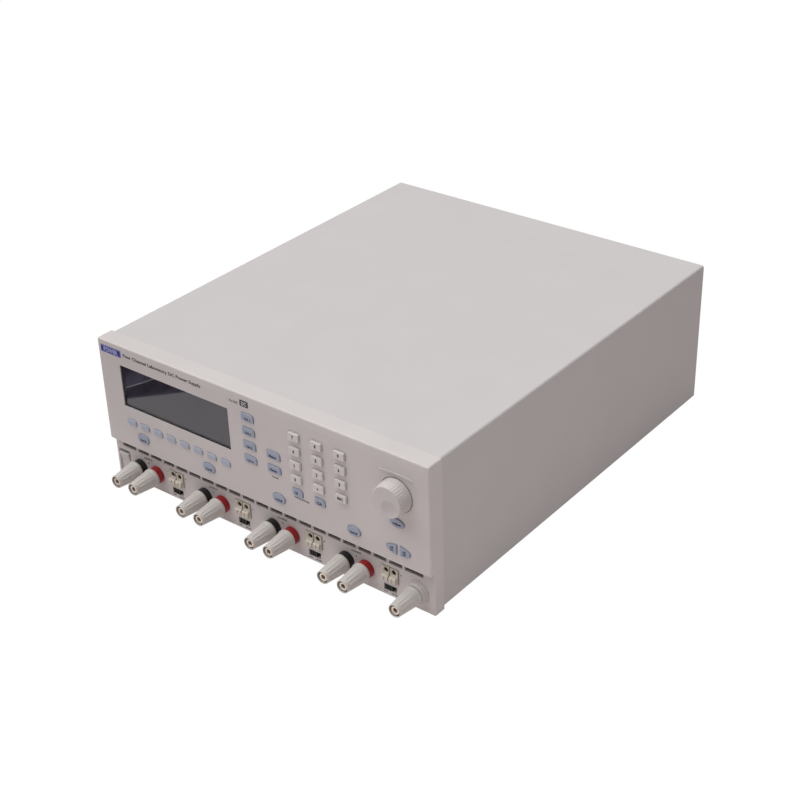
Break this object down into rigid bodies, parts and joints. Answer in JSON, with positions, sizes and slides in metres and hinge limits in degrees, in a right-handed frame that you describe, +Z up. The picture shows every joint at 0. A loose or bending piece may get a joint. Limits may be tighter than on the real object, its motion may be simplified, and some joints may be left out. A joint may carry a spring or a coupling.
{
  "type": "bench power supply",
  "caption": "Bench DC power supply with a display, key groups, an adjusting knob and a row of binding posts on a stepped front, in a folded steel case.",
  "frame": {"origin": "centre of the whole outline, on the surface that the feet stand on", "axes": "+X to the right as seen from the front, +Y to the rear, +Z up"},
  "size_m": [0.33, 0.415, 0.1355],
  "materials": {
    "bezel_plastic": "fine-textured moulded plastic, warm light grey",
    "cover_paint": "fine-texture powder coat, warm light grey",
    "zinc_steel": "zinc-plated sheet steel",
    "rear_paint": "powder-coated sheet steel",
    "foot_rubber": "matt black rubber",
    "screw_steel": "zinc-plated screws",
    "window_plastic": "clear glossy window",
    "lcd_panel": "dark grey display, switched off",
    "board_laminate": "green circuit board with parts",
    "heatsink_aluminium": "extruded, satin",
    "switch_plastic": "moulded grey",
    "rocker_plastic": "moulded light grey",
    "black_plastic": "moulded black",
    "socket_metal": "tinned shells",
    "nickel": "nickel-plated brass",
    "insulator_black": "moulded black",
    "insulator_red": "moulded red",
    "cap_plastic": "moulded light grey",
    "sense_plastic": "moulded cream",
    "selector_plastic": "moulded black",
    "knob_plastic": "moulded light grey",
    "white_keys": "moulded off-white",
    "blue_keys": "moulded pale blue",
    "print_ink": "printed dark lettering",
    "badge_film": "printed badge"
  },
  "bodies": {
    "case": {"base_chassis": "zinc_steel", "black_insulators": "insulator_black", "case_screws": "screw_steel", "display_window": "window_plastic", "fan_frame": "black_plastic", "front_bezel": "bezel_plastic", "front_board": "board_laminate", "heatsinks": "heatsink_aluminium", "interface_sockets": "socket_metal", "lcd_module": "lcd_panel", "mains_inlet": "black_plastic", "power_board": "board_laminate", "power_switch": "switch_plastic", "rear_panel": "rear_paint", "red_insulators": "insulator_red", "rubber_feet": "foot_rubber", "sense_terminals": "sense_plastic", "terminal_studs": "nickel", "wrap_cover": "cover_paint"},
    "adjust_key_body": {"adjust_key": "blue_keys"},
    "all_off_key_body": {"all_off_key": "blue_keys"},
    "all_on_key_body": {"all_on_key": "blue_keys"},
    "clear_key_body": {"clear_key": "blue_keys"},
    "decimal_key_body": {"decimal_key": "white_keys"},
    "escape_key_body": {"escape_key": "white_keys"},
    "home_key_body": {"home_key": "blue_keys"},
    "menu_key_body": {"menu_key": "blue_keys"},
    "number_key_0_body": {"number_key_0": "white_keys"},
    "number_key_1_body": {"number_key_1": "white_keys"},
    "number_key_2_body": {"number_key_2": "white_keys"},
    "number_key_3_body": {"number_key_3": "white_keys"},
    "number_key_4_body": {"number_key_4": "white_keys"},
    "number_key_5_body": {"number_key_5": "white_keys"},
    "number_key_6_body": {"number_key_6": "white_keys"},
    "number_key_7_body": {"number_key_7": "white_keys"},
    "number_key_8_body": {"number_key_8": "white_keys"},
    "number_key_9_body": {"number_key_9": "white_keys"},
    "ok_key_body": {"ok_key": "blue_keys"},
    "output_on_key_1_body": {"output_on_key_1": "blue_keys"},
    "output_on_key_2_body": {"output_on_key_2": "blue_keys"},
    "output_on_key_3_body": {"output_on_key_3": "blue_keys"},
    "output_on_key_4_body": {"output_on_key_4": "blue_keys"},
    "output_select_key_1_body": {"output_select_key_1": "blue_keys"},
    "output_select_key_2_body": {"output_select_key_2": "blue_keys"},
    "output_select_key_3_body": {"output_select_key_3": "blue_keys"},
    "output_select_key_4_body": {"output_select_key_4": "blue_keys"},
    "soft_keys_body": {"soft_keys": "blue_keys"},
    "earth_post_cap_body": {"earth_post_cap": "cap_plastic"},
    "negative_post_cap_1_body": {"negative_post_cap_1": "cap_plastic"},
    "negative_post_cap_2_body": {"negative_post_cap_2": "cap_plastic"},
    "negative_post_cap_3_body": {"negative_post_cap_3": "cap_plastic"},
    "negative_post_cap_4_body": {"negative_post_cap_4": "cap_plastic"},
    "positive_post_cap_1_body": {"positive_post_cap_1": "cap_plastic"},
    "positive_post_cap_2_body": {"positive_post_cap_2": "cap_plastic"},
    "positive_post_cap_3_body": {"positive_post_cap_3": "cap_plastic"},
    "positive_post_cap_4_body": {"positive_post_cap_4": "cap_plastic"},
    "knob_body": {"adjust_knob": "knob_plastic"},
    "rocker_body": {"power_rocker": "rocker_plastic"},
    "fan_body": {"fan_rotor": "black_plastic"},
    "sense_selector_body": {"sense_selectors": "selector_plastic"}
  },
  "joints": [
    {"name": "adjust_key_press", "type": "slide", "parent": "case", "child": "adjust_key_body", "axis": [0, 1, 0], "range_m": [0, 0.0012], "stiffness_N_per_m": 800},
    {"name": "all_off_key_press", "type": "slide", "parent": "case", "child": "all_off_key_body", "axis": [0, 1, 0], "range_m": [0, 0.0012], "stiffness_N_per_m": 800},
    {"name": "all_on_key_press", "type": "slide", "parent": "case", "child": "all_on_key_body", "axis": [0, 1, 0], "range_m": [0, 0.0012], "stiffness_N_per_m": 800},
    {"name": "clear_key_press", "type": "slide", "parent": "case", "child": "clear_key_body", "axis": [0, 1, 0], "range_m": [0, 0.0012], "stiffness_N_per_m": 800},
    {"name": "decimal_key_press", "type": "slide", "parent": "case", "child": "decimal_key_body", "axis": [0, 1, 0], "range_m": [0, 0.0012], "stiffness_N_per_m": 800},
    {"name": "escape_key_press", "type": "slide", "parent": "case", "child": "escape_key_body", "axis": [0, 1, 0], "range_m": [0, 0.0012], "stiffness_N_per_m": 800},
    {"name": "home_key_press", "type": "slide", "parent": "case", "child": "home_key_body", "axis": [0, 1, 0], "range_m": [0, 0.0012], "stiffness_N_per_m": 800},
    {"name": "menu_key_press", "type": "slide", "parent": "case", "child": "menu_key_body", "axis": [0, 1, 0], "range_m": [0, 0.0012], "stiffness_N_per_m": 800},
    {"name": "number_key_0_press", "type": "slide", "parent": "case", "child": "number_key_0_body", "axis": [0, 1, 0], "range_m": [0, 0.0012], "stiffness_N_per_m": 800},
    {"name": "number_key_1_press", "type": "slide", "parent": "case", "child": "number_key_1_body", "axis": [0, 1, 0], "range_m": [0, 0.0012], "stiffness_N_per_m": 800},
    {"name": "number_key_2_press", "type": "slide", "parent": "case", "child": "number_key_2_body", "axis": [0, 1, 0], "range_m": [0, 0.0012], "stiffness_N_per_m": 800},
    {"name": "number_key_3_press", "type": "slide", "parent": "case", "child": "number_key_3_body", "axis": [0, 1, 0], "range_m": [0, 0.0012], "stiffness_N_per_m": 800},
    {"name": "number_key_4_press", "type": "slide", "parent": "case", "child": "number_key_4_body", "axis": [0, 1, 0], "range_m": [0, 0.0012], "stiffness_N_per_m": 800},
    {"name": "number_key_5_press", "type": "slide", "parent": "case", "child": "number_key_5_body", "axis": [0, 1, 0], "range_m": [0, 0.0012], "stiffness_N_per_m": 800},
    {"name": "number_key_6_press", "type": "slide", "parent": "case", "child": "number_key_6_body", "axis": [0, 1, 0], "range_m": [0, 0.0012], "stiffness_N_per_m": 800},
    {"name": "number_key_7_press", "type": "slide", "parent": "case", "child": "number_key_7_body", "axis": [0, 1, 0], "range_m": [0, 0.0012], "stiffness_N_per_m": 800},
    {"name": "number_key_8_press", "type": "slide", "parent": "case", "child": "number_key_8_body", "axis": [0, 1, 0], "range_m": [0, 0.0012], "stiffness_N_per_m": 800},
    {"name": "number_key_9_press", "type": "slide", "parent": "case", "child": "number_key_9_body", "axis": [0, 1, 0], "range_m": [0, 0.0012], "stiffness_N_per_m": 800},
    {"name": "ok_key_press", "type": "slide", "parent": "case", "child": "ok_key_body", "axis": [0, 1, 0], "range_m": [0, 0.0012], "stiffness_N_per_m": 800},
    {"name": "output_on_key_1_press", "type": "slide", "parent": "case", "child": "output_on_key_1_body", "axis": [0, 1, 0], "range_m": [0, 0.0012], "stiffness_N_per_m": 800},
    {"name": "output_on_key_2_press", "type": "slide", "parent": "case", "child": "output_on_key_2_body", "axis": [0, 1, 0], "range_m": [0, 0.0012], "stiffness_N_per_m": 800},
    {"name": "output_on_key_3_press", "type": "slide", "parent": "case", "child": "output_on_key_3_body", "axis": [0, 1, 0], "range_m": [0, 0.0012], "stiffness_N_per_m": 800},
    {"name": "output_on_key_4_press", "type": "slide", "parent": "case", "child": "output_on_key_4_body", "axis": [0, 1, 0], "range_m": [0, 0.0012], "stiffness_N_per_m": 800},
    {"name": "output_select_key_1_press", "type": "slide", "parent": "case", "child": "output_select_key_1_body", "axis": [0, 1, 0], "range_m": [0, 0.0012], "stiffness_N_per_m": 800},
    {"name": "output_select_key_2_press", "type": "slide", "parent": "case", "child": "output_select_key_2_body", "axis": [0, 1, 0], "range_m": [0, 0.0012], "stiffness_N_per_m": 800},
    {"name": "output_select_key_3_press", "type": "slide", "parent": "case", "child": "output_select_key_3_body", "axis": [0, 1, 0], "range_m": [0, 0.0012], "stiffness_N_per_m": 800},
    {"name": "output_select_key_4_press", "type": "slide", "parent": "case", "child": "output_select_key_4_body", "axis": [0, 1, 0], "range_m": [0, 0.0012], "stiffness_N_per_m": 800},
    {"name": "soft_keys_press", "type": "slide", "parent": "case", "child": "soft_keys_body", "axis": [0, 1, 0], "range_m": [0, 0.0012], "stiffness_N_per_m": 6400},
    {"name": "earth_post_cap_turn", "type": "hinge", "parent": "case", "child": "earth_post_cap_body", "pos_m": [0.1497, -0.179, 0.0215], "axis": [0, -1, 0], "continuous": true},
    {"name": "negative_post_cap_1_turn", "type": "hinge", "parent": "case", "child": "negative_post_cap_1_body", "pos_m": [-0.13653, -0.179, 0.0215], "axis": [0, -1, 0], "continuous": true},
    {"name": "negative_post_cap_2_turn", "type": "hinge", "parent": "case", "child": "negative_post_cap_2_body", "pos_m": [-0.06352, -0.179, 0.0215], "axis": [0, -1, 0], "continuous": true},
    {"name": "negative_post_cap_3_turn", "type": "hinge", "parent": "case", "child": "negative_post_cap_3_body", "pos_m": [0.00948, -0.179, 0.0215], "axis": [0, -1, 0], "continuous": true},
    {"name": "negative_post_cap_4_turn", "type": "hinge", "parent": "case", "child": "negative_post_cap_4_body", "pos_m": [0.08248, -0.179, 0.0215], "axis": [0, -1, 0], "continuous": true},
    {"name": "positive_post_cap_1_turn", "type": "hinge", "parent": "case", "child": "positive_post_cap_1_body", "pos_m": [-0.11747, -0.179, 0.0215], "axis": [0, -1, 0], "continuous": true},
    {"name": "positive_post_cap_2_turn", "type": "hinge", "parent": "case", "child": "positive_post_cap_2_body", "pos_m": [-0.04448, -0.179, 0.0215], "axis": [0, -1, 0], "continuous": true},
    {"name": "positive_post_cap_3_turn", "type": "hinge", "parent": "case", "child": "positive_post_cap_3_body", "pos_m": [0.02852, -0.179, 0.0215], "axis": [0, -1, 0], "continuous": true},
    {"name": "positive_post_cap_4_turn", "type": "hinge", "parent": "case", "child": "positive_post_cap_4_body", "pos_m": [0.10153, -0.179, 0.0215], "axis": [0, -1, 0], "continuous": true},
    {"name": "knob_turn", "type": "hinge", "parent": "case", "child": "knob_body", "pos_m": [0.1362, -0.184, 0.1027], "axis": [0, -1, 0], "continuous": true},
    {"name": "power_rocker_tilt", "type": "hinge", "parent": "case", "child": "rocker_body", "pos_m": [-0.1554, -0.1738, 0.0196], "axis": [-1, 0, 0], "range_deg": [0, 14]},
    {"name": "fan_spin", "type": "hinge", "parent": "case", "child": "fan_body", "pos_m": [0.096, 0.189, 0.071], "axis": [0, 1, 0], "continuous": true},
    {"name": "sense_selector_slide", "type": "slide", "parent": "case", "child": "sense_selector_body", "axis": [1, 0, 0], "range_m": [0, 0.004]}
  ]
}
